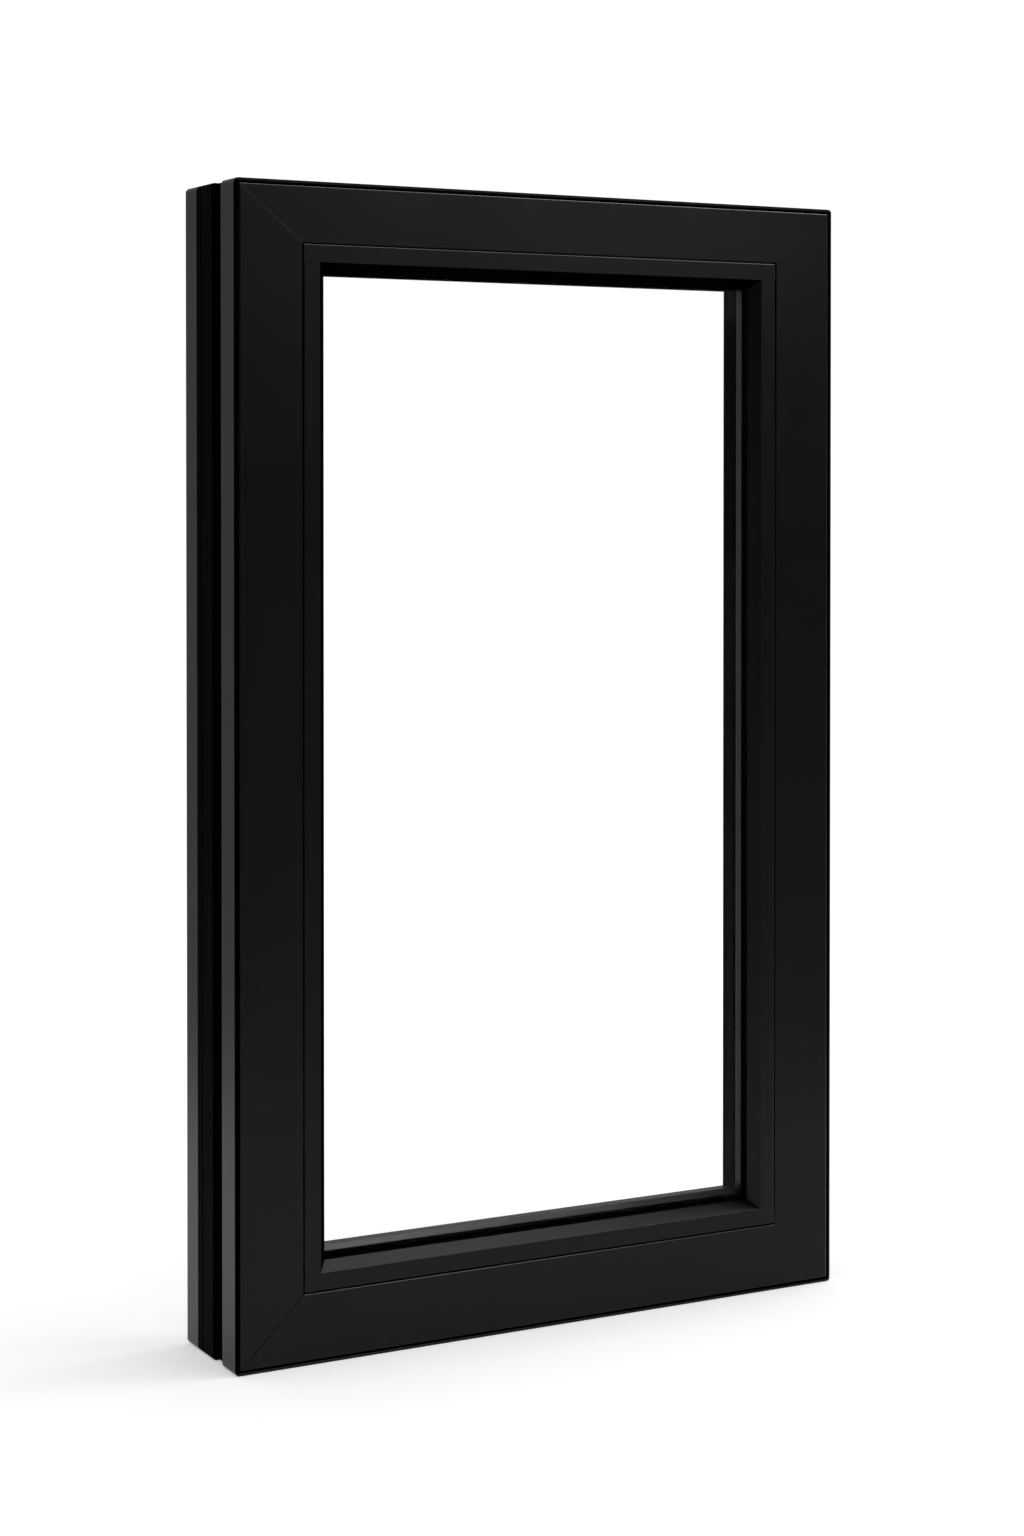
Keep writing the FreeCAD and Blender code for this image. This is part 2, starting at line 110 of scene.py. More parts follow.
class FinishSettings(bpy.types.PropertyGroup):
    coat_colour: bpy.props.StringProperty(
        name="Frame coating", description="sRGB colour of the powder coat, as hex",
        default="#050505")
    coat_gloss: bpy.props.FloatProperty(
        name="Coating gloss", description="Specular level of the powder coat",
        default=0.16, min=0.0, max=1.0, subtype="FACTOR")
    coat_roughness: bpy.props.FloatProperty(
        name="Coating roughness", description="How matt the powder coat is",
        default=0.27, min=0.0, max=1.0, subtype="FACTOR")
    # The glossier coat on chosen edges and on the sill's lip: a painted highlight and
    # sheen where the lights fall.
    painted_highlight_gloss: bpy.props.FloatProperty(
        name="Gloss of the edges",
        description="Specular level where the coat pulls thin",
        default=1.0, min=0.0, max=1.0, subtype="FACTOR")
    strip_colour: bpy.props.StringProperty(
        name="Insulating strip", description="sRGB colour of the polyamide, as hex",
        default="#020202")
    rubber_colour: bpy.props.StringProperty(
        name="Seals", description="sRGB colour of the rubber seals, as hex",
        default="#030303")
    edge_ease: bpy.props.FloatProperty(
        name="Edge ease", description="Rounding that the coating leaves on a cut edge",
        default=0.0002, min=0.0, max=0.0002, unit="LENGTH")


class StageSettings(bpy.types.PropertyGroup):
    world_level: bpy.props.FloatProperty(
        name="Room light", description="Strength of the even light from all round",
        default=0.7, min=0.0, max=2.0)
    backdrop_sheen: bpy.props.FloatProperty(
        name="Backdrop in the gloss",
        description="How bright the backdrop lies on glossy parts",
        default=0.42, min=0.0, max=2.0)
    dark_side: bpy.props.FloatProperty(
        name="Room behind the camera",
        description="How bright that end lies on glossy parts",
        default=0.02, min=0.0, max=2.0)
    top_power: bpy.props.FloatProperty(
        name="Top light", description="Power of the large soft light overhead",
        default=16.0, min=0.0, unit="POWER")
    front_power: bpy.props.FloatProperty(
        name="Front light",
        description="Power of the soft light high at the front right",
        default=5.3, min=0.0, unit="POWER")
    floor_falloff: bpy.props.FloatProperty(
        name="Floor falloff", description="How dark the far floor lies on glossy parts",
        default=0.6, min=0.0, max=1.0, subtype="FACTOR")
    floor_near: bpy.props.FloatProperty(
        name="Floor lift by the part", description="Light added to the floor there",
        default=0.33, min=0.0, max=1.0)
    floor_far: bpy.props.FloatProperty(
        name="Floor lift far off",
        description="Light added to the floor far from the part",
        default=0.46, min=0.0, max=1.0)


# Nodes and colours.

def linear(text):
    """An sRGB hex colour as linear red, green, blue and alpha."""
    parts = [int(text[i:i + 2], 16) / 255 for i in (1, 3, 5)]
    parts = [p / 12.92 if p <= 0.04045 else ((p + 0.055) / 1.055) ** 2.4 for p in parts]
    return (*parts, 1.0)


def scaled(colour, factor, lift=0.0):
    """A linear colour times a factor, and lifted a little where asked."""
    return tuple(min(1.0, c * factor + lift) for c in colour[:3]) + (1.0,)


def add_node(tree, kind, inputs=(), links=(), **settings):
    """Add one node, set its inputs and properties, and link outputs into it."""
    node = tree.nodes.new(kind)
    for name, value in settings.items():
        setattr(node, name, value)
    for name, value in dict(inputs).items():
        node.inputs[name].default_value = value
    for name, source in dict(links).items():
        tree.links.new(source, node.inputs[name])
    return node


def new_material(name):
    """A material with an empty node tree, and that tree."""
    material = bpy.data.materials.new(name)
    material.use_nodes = True
    material.node_tree.nodes.clear()
    return material, material.node_tree


def close_material(tree, shader, bump=None):
    """Link a bump node, if there is one, and the material's output."""
    if bump is not None:
        tree.links.new(bump.outputs["Normal"], shader.inputs["Normal"])
    add_node(tree, "ShaderNodeOutputMaterial", links={"Surface": shader.outputs[0]})


def powder_coat(name, colour, gloss, roughness, peel_depth=0.12):
    """Black powder coat, baked on over aluminium; it also serves for dull black metal.
    Near black and without gloss it also paints shade, and with more gloss it paints
    highlights and sheen.

    It gives a deep, even black with a faint orange peel that breaks up the soft
    highlights, and a very slight cloudiness where the coat is thicker.
    """
    material, tree = new_material(name)
    place = add_node(tree, "ShaderNodeTexCoord").outputs["Object"]
    # Orange peel of about 1.6 mm, coarser than the real 0.5 mm so that it shows.
    peel = add_node(
        tree, "ShaderNodeTexNoise", {"Scale": 1 / (1.6 * MILLIMETRE), "Detail": 2.0},
        {"Vector": place})
    # Pigment grain of about 0.8 mm.
    grain = add_node(
        tree, "ShaderNodeTexNoise", {"Scale": 1 / (0.8 * MILLIMETRE), "Detail": 3.0},
        {"Vector": place})
    # Thickness of the coat drifts over about 90 mm.
    cloud = add_node(
        tree, "ShaderNodeTexNoise", {"Scale": 1 / (90 * MILLIMETRE), "Detail": 2.0},
        {"Vector": place})
    deep = linear(colour)
    pale = scaled(deep, 1.55)
    mottle = add_node(
        tree, "ShaderNodeMapRange", {"From Min": 0.3, "From Max": 0.7},
        {"Value": grain.outputs["Fac"]})
    drift = add_node(
        tree, "ShaderNodeMapRange", {"From Min": 0.35, "From Max": 0.65, "To Max": 0.6},
        {"Value": cloud.outputs["Fac"]})
    share = add_node(
        tree, "ShaderNodeMath", {1: 0.4}, {0: mottle.outputs["Result"]},
        operation="MULTIPLY")
    share = add_node(
        tree, "ShaderNodeMath", (),
        {0: share.outputs[0], 1: drift.outputs["Result"]}, operation="ADD")
    tint = add_node(
        tree, "ShaderNodeMix", {"A": deep, "B": pale},
        {"Factor": share.outputs[0]}, data_type="RGBA")
    rough = add_node(
        tree, "ShaderNodeMapRange",
        {"From Min": 0.3, "From Max": 0.7,
         "To Min": roughness - 0.04, "To Max": roughness + 0.05},
        {"Value": cloud.outputs["Fac"]})
    shader = add_node(
        tree, "ShaderNodeBsdfPrincipled",
        {"Specular IOR Level": gloss, "Metallic": 0.0},
        {"Base Color": tint.outputs["Result"], "Roughness": rough.outputs["Result"]})
    bump = add_node(
        tree, "ShaderNodeBump",
        {"Strength": peel_depth, "Distance": 0.05 * MILLIMETRE},
        {"Height": peel.outputs["Fac"]})
    close_material(tree, shader, bump)
    return material


def polyamide(name, colour):
    """Glass-filled polyamide 66, extruded: a dull black with lines along its length."""
    material, tree = new_material(name)
    place = add_node(tree, "ShaderNodeTexCoord").outputs["Object"]
    # Fibres stand out as specks of about 1 mm.
    fibre = add_node(
        tree, "ShaderNodeTexNoise", {"Scale": 1 / (1.0 * MILLIMETRE), "Detail": 4.0},
        {"Vector": place})
    # Die lines about 1.2 mm apart, front to back, coarser than real ones so they show.
    across = add_node(
        tree, "ShaderNodeMapping", {"Scale": (0.02, 1.0, 0.02)}, {"Vector": place})
    lines = add_node(
        tree, "ShaderNodeTexNoise", {"Scale": 1 / (1.2 * MILLIMETRE), "Detail": 1.0},
        {"Vector": across.outputs["Vector"]})
    deep = linear(colour)
    pale = scaled(deep, 1.9)
    speck = add_node(
        tree, "ShaderNodeMapRange", {"From Min": 0.4, "From Max": 0.75},
        {"Value": fibre.outputs["Fac"]})
    tint = add_node(
        tree, "ShaderNodeMix", {"A": deep, "B": pale},
        {"Factor": speck.outputs["Result"]}, data_type="RGBA")
    rough = add_node(
        tree, "ShaderNodeMapRange", {"To Min": 0.5, "To Max": 0.7},
        {"Value": lines.outputs["Fac"]})
    shader = add_node(
        tree, "ShaderNodeBsdfPrincipled", {"Specular IOR Level": 0.01},
        {"Base Color": tint.outputs["Result"], "Roughness": rough.outputs["Result"]})
    bump = add_node(
        tree, "ShaderNodeBump", {"Strength": 0.25, "Distance": 0.06 * MILLIMETRE},
        {"Height": lines.outputs["Fac"]})
    close_material(tree, shader, bump)
    return material


def rubber(name, colour, roughness):
    """Extruded synthetic rubber, with a waxy bloom that dulls it unevenly."""
    material, tree = new_material(name)
    place = add_node(tree, "ShaderNodeTexCoord").outputs["Object"]
    # Bloom in patches of about 14 mm.
    bloom = add_node(
        tree, "ShaderNodeTexNoise", {"Scale": 1 / (14 * MILLIMETRE), "Detail": 3.0},
        {"Vector": place})
    # Skin texture of about 0.9 mm.
    skin = add_node(
        tree, "ShaderNodeTexNoise", {"Scale": 1 / (0.9 * MILLIMETRE), "Detail": 2.0},
        {"Vector": place})
    deep = linear(colour)
    pale = scaled(deep, 2.2, lift=0.001)
    tint = add_node(
        tree, "ShaderNodeMix", {"A": deep, "B": pale},
        {"Factor": bloom.outputs["Fac"]}, data_type="RGBA")
    rough = add_node(
        tree, "ShaderNodeMapRange",
        {"To Min": roughness - 0.08, "To Max": roughness + 0.1},
        {"Value": bloom.outputs["Fac"]})
    shader = add_node(
        tree, "ShaderNodeBsdfPrincipled", {"Specular IOR Level": 0.0},
        {"Base Color": tint.outputs["Result"], "Roughness": rough.outputs["Result"]})
    bump = add_node(
        tree, "ShaderNodeBump", {"Strength": 0.2, "Distance": 0.05 * MILLIMETRE},
        {"Height": skin.outputs["Fac"]})
    close_material(tree, shader, bump)
    return material


def rolled_aluminium(name, colour, roughness, pitch):
    """Rolled, anodised aluminium: a metal sheen with fine lines left by the rolls."""
    material, tree = new_material(name)
    place = add_node(tree, "ShaderNodeTexCoord").outputs["Object"]
    # Roll lines, a pitch apart from front to back.
    across = add_node(
        tree, "ShaderNodeMapping", {"Scale": (0.03, 1.0, 0.03)}, {"Vector": place})
    lines = add_node(
        tree, "ShaderNodeTexNoise", {"Scale": 1 / (pitch * MILLIMETRE), "Detail": 2.0},
        {"Vector": across.outputs["Vector"]})
    # Oxide clouds of about 20 mm.
    oxide = add_node(
        tree, "ShaderNodeTexNoise", {"Scale": 1 / (20 * MILLIMETRE), "Detail": 3.0},
        {"Vector": place})
    bright = linear(colour)
    dull = scaled(bright, 0.72)
    tint = add_node(
        tree, "ShaderNodeMix", {"A": bright, "B": dull},
        {"Factor": oxide.outputs["Fac"]}, data_type="RGBA")
    rough = add_node(
        tree, "ShaderNodeMapRange",
        {"To Min": roughness - 0.06, "To Max": roughness + 0.1},
        {"Value": lines.outputs["Fac"]})
    shader = add_node(
        tree, "ShaderNodeBsdfPrincipled", {"Metallic": 1.0},
        {"Base Color": tint.outputs["Result"], "Roughness": rough.outputs["Result"]})
    bump = add_node(
        tree, "ShaderNodeBump", {"Strength": 0.15, "Distance": 0.03 * MILLIMETRE},
        {"Height": lines.outputs["Fac"]})
    close_material(tree, shader, bump)
    return material


def float_glass(name):
    """Clear float glass: colourless, its reflections held low for a clean opening."""
    material, tree = new_material(name)
    place = add_node(tree, "ShaderNodeTexCoord").outputs["Object"]
    # The tin bath leaves waves about 120 mm long, seen here only as a trace of grey.
    wave = add_node(
        tree, "ShaderNodeTexNoise", {"Scale": 1 / (120 * MILLIMETRE), "Detail": 1.0},
        {"Vector": place})
    tint = add_node(
        tree, "ShaderNodeMix", {"A": linear("#FFFFFF"), "B": linear("#FEFEFE")},
        {"Factor": wave.outputs["Fac"]}, data_type="RGBA")
    shader = add_node(
        tree, "ShaderNodeBsdfPrincipled",
        {"Transmission Weight": 1.0, "Roughness": 0.0, "IOR": 1.5,
         "Specular Tint": linear("#303030")},
        {"Base Color": tint.outputs["Result"]})
    close_material(tree, shader)
    return material


def moulded_plastic(name, colour):
    """Moulded polypropylene: grey, faintly speckled and a little waxy."""
    material, tree = new_material(name)
    place = add_node(tree, "ShaderNodeTexCoord").outputs["Object"]
    # Mould texture of about 1 mm.
    grain = add_node(
        tree, "ShaderNodeTexNoise", {"Scale": 1 / (1.0 * MILLIMETRE), "Detail": 3.0},
        {"Vector": place})
    deep = linear(colour)
    pale = scaled(deep, 1.3)
    tint = add_node(
        tree, "ShaderNodeMix", {"A": deep, "B": pale},
        {"Factor": grain.outputs["Fac"]}, data_type="RGBA")
    rough = add_node(
        tree, "ShaderNodeMapRange", {"To Min": 0.4, "To Max": 0.55},
        {"Value": grain.outputs["Fac"]})
    shader = add_node(
        tree, "ShaderNodeBsdfPrincipled", {"Specular IOR Level": 0.4},
        {"Base Color": tint.outputs["Result"], "Roughness": rough.outputs["Result"]})
    bump = add_node(
        tree, "ShaderNodeBump", {"Strength": 0.2, "Distance": 0.05 * MILLIMETRE},
        {"Height": grain.outputs["Fac"]})
    close_material(tree, shader, bump)
    return material


# Pieces.

def finish_node(node, material):
    """Give a carried-over solid its finish."""
    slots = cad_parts[node].data.materials
    slots.clear()
    slots.append(material)


def eased_bar(node, materials, ease):
    """Copy a profile, merge its flat faces and round its cut edges as the coat does."""
    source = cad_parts[node]
    bpy.ops.object.select_all(action="DESELECT")
    source.select_set(True)
    bpy.context.view_layer.objects.active = source
    bpy.ops.object.duplicate(linked=False)
    bar = bpy.context.view_layer.objects.active
    if bar is source:
        raise RuntimeError("no copy made of " + node)
    bar.name = node + "_coated"
    world = bar.matrix_world.copy()
    bar.parent = None
    bar.matrix_world = world
    bpy.ops.object.mode_set(mode="EDIT")
    bpy.ops.mesh.select_all(action="SELECT")
    bpy.ops.mesh.remove_doubles(threshold=WELD)
    bpy.ops.mesh.dissolve_limited(angle_limit=ONE_PLANE)
    bpy.ops.object.mode_set(mode="OBJECT")
    bevel = bar.modifiers.new("Coating", "BEVEL")
    bevel.width = ease
    bevel.segments = 2
    bevel.limit_method = "ANGLE"
    bevel.angle_limit = CUT_EDGE
    # Clamping would shrink every easing to what the shortest edge allows.
    bevel.use_clamp_overlap = False
    bpy.ops.object.modifier_apply(modifier=bevel.name)
    bpy.ops.object.mode_set(mode="EDIT")
    bpy.ops.mesh.select_all(action="SELECT")
    bpy.ops.mesh.dissolve_degenerate(threshold=SPECK)
    bpy.ops.object.mode_set(mode="OBJECT")
    bpy.ops.object.shade_flat()
    bar.data.materials.clear()
    for material in materials:
        bar.data.materials.append(material)
    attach(bar, "root")
    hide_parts(node)
    return bar


def coat_where(bar, index, chosen):
    """Give one of the bar's materials to the faces that a test picks."""
    for face in bar.data.polygons:
        if chosen(face.center, face.normal):
            face.material_index = index


def behind_the_glass(place, normal):
    """Walls of the opening behind the front pane, but not the sill's upward ones; they get
    painted shade.
    """
    low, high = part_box("front_pane")
    inside = low.x < place.x < high.x and low.z < place.z < high.z
    middle = (low + high) / 2
    inward = Vector((middle.x - place.x, 0, middle.z - place.z)).dot(normal) > 0
    return inside and inward and place.y > low.y and normal.z < 0.3


def outer_rim(place, normal):
    """The rounded rim and the shadow groove round the front, which get painted shade; on
    the left jamb the rim's crest gets it too.
    """
    inward = min(
        place.x - LOW.x, HIGH.x - place.x, place.z - LOW.z, HIGH.z - place.z)
    crest = place.y < LOW.y + CREST and normal.y < -0.9 and place.x > LOW.x + RIM
    near = inward < RIM and place.y < LOW.y + GROOVE
    return near and normal.y < -0.2 and not crest


def front_edge(place, normal):
    """A small rounded edge between the front and a face that leads back from it."""
    return place.y < LOW.y + FRONT_EDGE and -0.97 < normal.y < -0.25


def along_mitre(normal):
    """Facing both across and up or down, as only the eased mitres do."""
    return abs(normal.x) > 0.2 and abs(normal.z) > 0.2


def painted_highlight_edge(place, normal):
    """Small front edges that face up or to the right, and the mitres at the head; toward
    the lights, they get a painted highlight.
    """
    level = normal.z > 0.25 and abs(normal.x) < 0.1
    upright = normal.x > 0.25 and place.x > MIDDLE.x and abs(normal.z) < 0.1
    mitre = place.z > MIDDLE.z and along_mitre(normal)
    return front_edge(place, normal) and (level or upright or mitre)


def painted_shade_mitre(place, normal):
    """The mitre at the lower left, which faces away from the lights and gets painted
    shade.
    """
    lower_left = place.z < MIDDLE.z and place.x < MIDDLE.x
    return lower_left and front_edge(place, normal) and along_mitre(normal)


def sill_dam(place, normal):
    """The slope of the sill's lip behind the glass, which gets a glossier coat as a
    painted sheen.
    """
    return place.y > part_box("rear_pane")[0].y and normal.z > 0.5 and normal.y < -0.4


def bead_slope(place, normal):
    """The slopes of the left and the head bead, which face away from the lights and get
    painted shade.
    """
    return -0.9 < normal.y < -0.2 and (normal.x > 0.2 or normal.z < -0.2)


class WINDOW_OT_profiles(bpy.types.Operator):
    """Coat the front profiles and the rear shell"""
    bl_idname = "window.profiles"
    bl_label = "Frame profiles"

    def execute(self, context):
        finish = context.scene.window_finish
        front = powder_coat(
            "black_powder_coat_face", finish.coat_colour, finish.coat_gloss,
            finish.coat_roughness)
        rear = powder_coat(
            "black_powder_coat_rear", finish.coat_colour, finish.coat_gloss,
            finish.coat_roughness - 0.04)
        # A near black without gloss: painted shade for the recess behind the glass, the
        # lower-left mitre, and the rim with its groove.
        shade_coat = powder_coat("black_coat_rebate_painted_shade", PAINTED_SHADE_COLOUR, 0.0, 0.7)
        # A glossier coat for edges toward the lights: a painted highlight.
        edge = powder_coat(
            "glossy_black_coat_edge_painted_highlight", finish.coat_colour, finish.painted_highlight_gloss,
            PAINTED_HIGHLIGHT_ROUGHNESS)
        # The lip's extra gloss is a painted sheen; it lies in the border of a light's
        # reflection, where peel would sparkle.
        lip = powder_coat(
            "smooth_black_coat_lip_painted_sheen", finish.coat_colour, finish.painted_highlight_gloss, 0.32,
            peel_depth=0.01)
        coats = (front, shade_coat, edge, lip)
        for side in SIDES:
            bar = eased_bar(side + "_face", coats, finish.edge_ease)
            # A later test overrules an earlier one.
            # Painted shade in the recess, a painted highlight on edges toward the lights,
            # painted shade on the lower-left mitre, a painted sheen on the sill's lip, and
            # painted shade on the rim.
            coat_where(bar, coats.index(shade_coat), behind_the_glass)
            coat_where(bar, coats.index(edge), painted_highlight_edge)
            coat_where(bar, coats.index(shade_coat), painted_shade_mitre)
            coat_where(bar, coats.index(lip), sill_dam)
            coat_where(bar, coats.index(shade_coat), outer_rim)
            eased_bar(
                side + "_back_shell", (rear,), finish.edge_ease)
        return {"FINISHED"}


class WINDOW_OT_strips(bpy.types.Operator):
    """Finish the insulating strips between the two metal shells"""
    bl_idname = "window.strips"
    bl_label = "Insulating strips"

    def execute(self, context):
        finish = context.scene.window_finish
        material = polyamide("black_polyamide", finish.strip_colour)
        for side in SIDES:
            finish_node(side + "_outer_strip", material)
            finish_node(side + "_inner_strip", material)
        return {"FINISHED"}


class WINDOW_OT_beads(bpy.types.Operator):
    """Coat the snap-in glazing beads"""
    bl_idname = "window.beads"
    bl_label = "Glazing beads"

    def execute(self, context):
        finish = context.scene.window_finish
        front = powder_coat(
            "black_powder_coat_bead", finish.coat_colour, finish.coat_gloss,
            finish.coat_roughness)
        # A near black without gloss: painted shade for the bead slopes that face away from
        # the lights.
        shade_coat = powder_coat("black_coat_bead_painted_shade", PAINTED_SHADE_COLOUR, 0.0, 0.6)
        # A glossier coat for edges toward the lights: a painted highlight.
        edge = powder_coat(
            "glossy_black_coat_bead_edge_painted_highlight", finish.coat_colour, finish.painted_highlight_gloss,
            PAINTED_HIGHLIGHT_ROUGHNESS)
        coats = (front, shade_coat, edge)
        for side in SIDES:
            bar = eased_bar(side + "_bead", coats, finish.edge_ease)
            coat_where(bar, coats.index(shade_coat), bead_slope)
            coat_where(bar, coats.index(edge), painted_highlight_edge)
        return {"FINISHED"}


class WINDOW_OT_glass_unit(bpy.types.Operator):
    """Finish the panes, spacer, sealant and seals"""
    bl_idname = "window.glass_unit"
    bl_label = "Glass unit"

    def execute(self, context):
        finish = context.scene.window_finish
        glass = float_glass("clear_float_glass")
        seal = rubber("black_rubber_seal", finish.rubber_colour, 0.5)
        sealant = rubber("black_edge_sealant", finish.rubber_colour, 0.65)
        spacer = rolled_aluminium(
            "black_anodised_aluminium_spacer", "#1E1E1F", 0.34, 0.8)
        # The head and sill spacers get a near black without gloss, unlike the jambs'
        # metal: painted shade.
        shade_spacer = powder_coat("black_spacer_painted_shade", "#030303", 0.0, 0.7)
        for pane in ("front_pane", "rear_pane"):
            finish_node(pane, glass)
            # Light passes, so that the pane throws no grey shadow.
            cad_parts[pane].visible_shadow = False
        for side in SIDES:
            finish_node(side + "_spacer", spacer if "jamb" in side else shade_spacer)
            finish_node(side + "_edge_sealant", sealant)
            finish_node(side + "_front_seal", seal)
            finish_node(side + "_rear_seal", seal)
        return {"FINISHED"}


class WINDOW_OT_fittings(bpy.types.Operator):
    """Finish the corner cleats and the setting blocks"""
    bl_idname = "window.fittings"
    bl_label = "Cleats and setting blocks"

    def execute(self, context):
        # Near black without gloss, so that the cleats read as the slot's shade: painted
        # shade.
        cleat = powder_coat("black_passivated_zinc_cleat", "#010101", 0.0, 0.6)
        block = moulded_plastic("grey_polypropylene_block", "#55585A")
        for hand in ("left", "right"):
            finish_node(hand + "_setting_block", block)
            for end in ("top", "bottom"):
                finish_node("%s_%s_cleat" % (end, hand), cleat)
        return {"FINISHED"}


class WINDOW_OT_stage(bpy.types.Operator):
    """Set up the floor, the lights, the background and the camera"""
    bl_idname = "window.stage"
    bl_label = "Studio stage"

    def execute(self, context):
        stage = context.scene.window_stage
        self.make_floor(stage)
        self.make_world(context, stage)
        self.add_softbox("Top light", *TOP_LIGHT, stage.top_power)
        self.add_softbox("Front light", *FRONT_LIGHT, stage.front_power)
        self.add_camera(context)
        return {"FINISHED"}

    def make_floor(self, stage):
        bpy.ops.object.select_all(action="DESELECT")
        bpy.ops.mesh.primitive_plane_add(size=FLOOR_SIZE, location=(0, 0, LOW.z))
        floor = bpy.context.active_object
        floor.name = "Floor"
        material, tree = new_material("white_studio_floor")
        place = add_node(tree, "ShaderNodeTexCoord").outputs["Object"]
        # Paper tone, drifting over about half a metre.
        tone = add_node(
            tree, "ShaderNodeTexNoise", {"Scale": 2.0, "Detail": 2.0},
            {"Vector": place})
        tint = add_node(
            tree, "ShaderNodeMix", {"A": linear("#EBEBEB"), "B": linear("#EEEEEE")},
            {"Factor": tone.outputs["Fac"]}, data_type="RGBA")
        # In the gloss the floor is bright by the part and dim from a metre off.
        reach = add_node(
            tree, "ShaderNodeVectorMath", (), {0: place}, operation="LENGTH")
        away = add_node(
            tree, "ShaderNodeMapRange",
            {"From Min": FLOOR_DIMS_OVER[0], "From Max": FLOOR_DIMS_OVER[1],
             "To Max": stage.floor_falloff},
            {"Value": reach.outputs["Value"]}, interpolation_type="SMOOTHSTEP")
        dim = add_node(
            tree, "ShaderNodeMath", (),
            {0: away.outputs["Result"], 1: self.seen_in_gloss(tree)},
            operation="MULTIPLY")
        tint = add_node(
            tree, "ShaderNodeMix", {"B": linear("#000000")},
            {"Factor": dim.outputs[0], "A": tint.outputs["Result"]}, data_type="RGBA")
        paper = add_node(
            tree, "ShaderNodeBsdfPrincipled",
            {"Roughness": 0.95, "Specular IOR Level": 0.0},
            {"Base Color": tint.outputs["Result"]})
        seen = self.seen_directly(tree)
        # The lift grows over the first metre, so the floor glows less by the part: painted
        # shade that deepens the part's soft shadow.
        lift = add_node(
            tree, "ShaderNodeMapRange",
            {"From Min": FLOOR_LIFTS_OVER[0], "From Max": FLOOR_LIFTS_OVER[1],
             "To Min": stage.floor_near, "To Max": stage.floor_far},
            {"Value": reach.outputs["Value"]}, interpolation_type="SMOOTHSTEP")
        level = add_node(
            tree, "ShaderNodeMath", (), {0: seen, 1: lift.outputs["Result"]},
            operation="MULTIPLY")
        keep = add_node(
            tree, "ShaderNodeMath", {0: 1.0}, {1: dim.outputs[0]}, operation="SUBTRACT")
        level = add_node(
            tree, "ShaderNodeMath", (), {0: level.outputs[0], 1: keep.outputs[0]},
            operation="MULTIPLY")
        glow = add_node(
            tree, "ShaderNodeEmission", (), {"Strength": level.outputs[0]})
        both = add_node(
            tree, "ShaderNodeAddShader", (), {0: paper.outputs[0], 1: glow.outputs[0]})
        close_material(tree, both)
        floor.data.materials.append(material)
        floor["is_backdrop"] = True

    def seen_directly(self, tree):
        """1 for rays from the camera, or from it by a mirror or through glass."""
        rays = add_node(tree, "ShaderNodeLightPath")
        seen = add_node(
            tree, "ShaderNodeMath", (),
            {0: rays.outputs["Is Camera Ray"], 1: rays.outputs["Is Glossy Ray"]},
            operation="MAXIMUM")
        seen = add_node(
            tree, "ShaderNodeMath", (),
            {0: seen.outputs[0], 1: rays.outputs["Is Transmission Ray"]},
            operation="MAXIMUM")
        return seen.outputs[0]

    def seen_in_gloss(self, tree):
        """1 for rays that a glossy surface sends out, but not those through glass."""
        rays = add_node(tree, "ShaderNodeLightPath")
        gloss = add_node(
            tree, "ShaderNodeMath", (),
            {0: rays.outputs["Is Glossy Ray"], 1: rays.outputs["Is Transmission Ray"]},
            operation="SUBTRACT", use_clamp=True)
        return gloss.outputs[0]

    def make_world(self, context, stage):
        world = bpy.data.worlds.new("Studio")
        context.scene.world = world
        world.use_nodes = True
        tree = world.node_tree
        tree.nodes.clear()
        seen = self.seen_directly(tree)
        level = add_node(
            tree, "ShaderNodeMapRange",
            {"To Min": stage.world_level, "To Max": WHITE_BACKDROP}, {"Value": seen})
        # In the gloss the studio is lit at the backdrop and dim at its front end; the
        # range is in cosines of the angle to the camera's side.
        way = add_node(tree, "ShaderNodeTexCoord").outputs["Generated"]
        toward = add_node(
            tree, "ShaderNodeVectorMath", {1: TOWARD_CAMERA}, {0: way},
            operation="DOT_PRODUCT")
        sheen = add_node(
            tree, "ShaderNodeMapRange",
            {"From Min": 0.9, "From Max": -0.3,
             "To Min": stage.dark_side, "To Max": stage.backdrop_sheen},
            {"Value": toward.outputs["Value"]}, interpolation_type="SMOOTHSTEP")
        level = add_node(
            tree, "ShaderNodeMix", (),
            {"Factor": self.seen_in_gloss(tree), "A": level.outputs["Result"],
             "B": sheen.outputs["Result"]})
        light = add_node(
            tree, "ShaderNodeBackground", {"Color": linear("#FFFFFF")},
            {"Strength": level.outputs["Result"]})
        add_node(tree, "ShaderNodeOutputWorld", links={"Surface": light.outputs[0]})

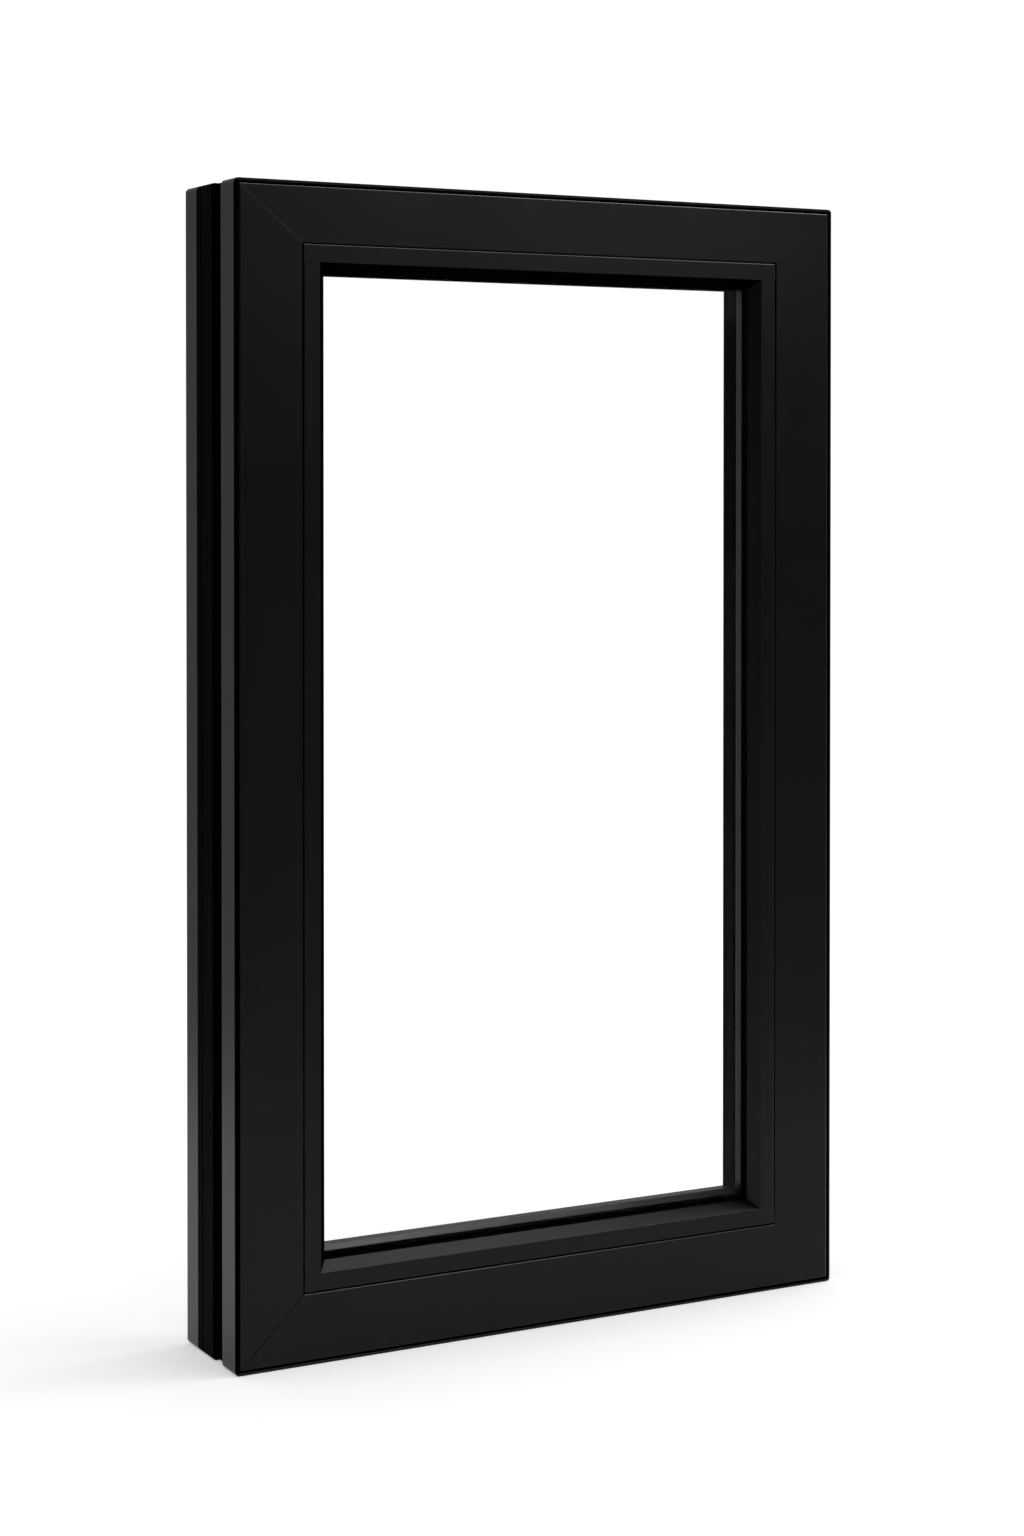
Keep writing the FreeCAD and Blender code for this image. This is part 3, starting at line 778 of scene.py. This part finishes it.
    def add_softbox(self, name, place, size, power):
        data = bpy.data.lights.new(name, "AREA")
        data.shape = "SQUARE"
        data.size = size
        data.energy = power
        lamp = bpy.data.objects.new(name, data)
        bpy.context.scene.collection.objects.link(lamp)
        lamp.location = place
        aim = MIDDLE - lamp.location
        lamp.rotation_euler = aim.to_track_quat("-Z", "Y").to_euler()
        lamp.visible_camera = False
        lamp.visible_transmission = False

    def add_camera(self, context):
        data = bpy.data.cameras.new("Camera")
        camera = bpy.data.objects.new("Camera", data)
        context.scene.collection.objects.link(camera)
        camera.location = CAMERA_PLACE
        camera.rotation_euler = (
            math.radians(CAMERA_PITCH), 0, math.radians(CAMERA_TURN))
        data.sensor_width = 36
        data.lens = LENS
        data.shift_x, data.shift_y = LENS_SHIFT
        data.clip_end = 100
        context.scene.camera = camera


class WINDOW_PT_panel(bpy.types.Panel):
    bl_label = "Fixed window"
    bl_idname = "WINDOW_PT_panel"
    bl_space_type = "VIEW_3D"
    bl_region_type = "UI"
    bl_category = "Window"

    def draw(self, context):
        for operator in OPERATORS:
            self.layout.operator(operator.bl_idname)
        for settings in (context.scene.window_finish, context.scene.window_stage):
            for name in settings.__annotations__:
                self.layout.prop(settings, name)


OPERATORS = (
    WINDOW_OT_profiles,
    WINDOW_OT_strips,
    WINDOW_OT_beads,
    WINDOW_OT_glass_unit,
    WINDOW_OT_fittings,
    WINDOW_OT_stage,
)
CLASSES = (FinishSettings, StageSettings, *OPERATORS, WINDOW_PT_panel)


def register():
    for cls in CLASSES:
        bpy.utils.register_class(cls)
    bpy.types.Scene.window_finish = bpy.props.PointerProperty(type=FinishSettings)
    bpy.types.Scene.window_stage = bpy.props.PointerProperty(type=StageSettings)


def unregister():
    del bpy.types.Scene.window_finish
    del bpy.types.Scene.window_stage
    for cls in reversed(CLASSES):
        bpy.utils.unregister_class(cls)


def main():
    register()
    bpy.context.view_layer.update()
    bpy.ops.window.profiles()
    bpy.ops.window.strips()
    bpy.ops.window.beads()
    bpy.ops.window.glass_unit()
    bpy.ops.window.fittings()
    bpy.ops.window.stage()
    bpy.context.scene.view_settings.view_transform = "Standard"


if __name__ == "__main__":
    main()
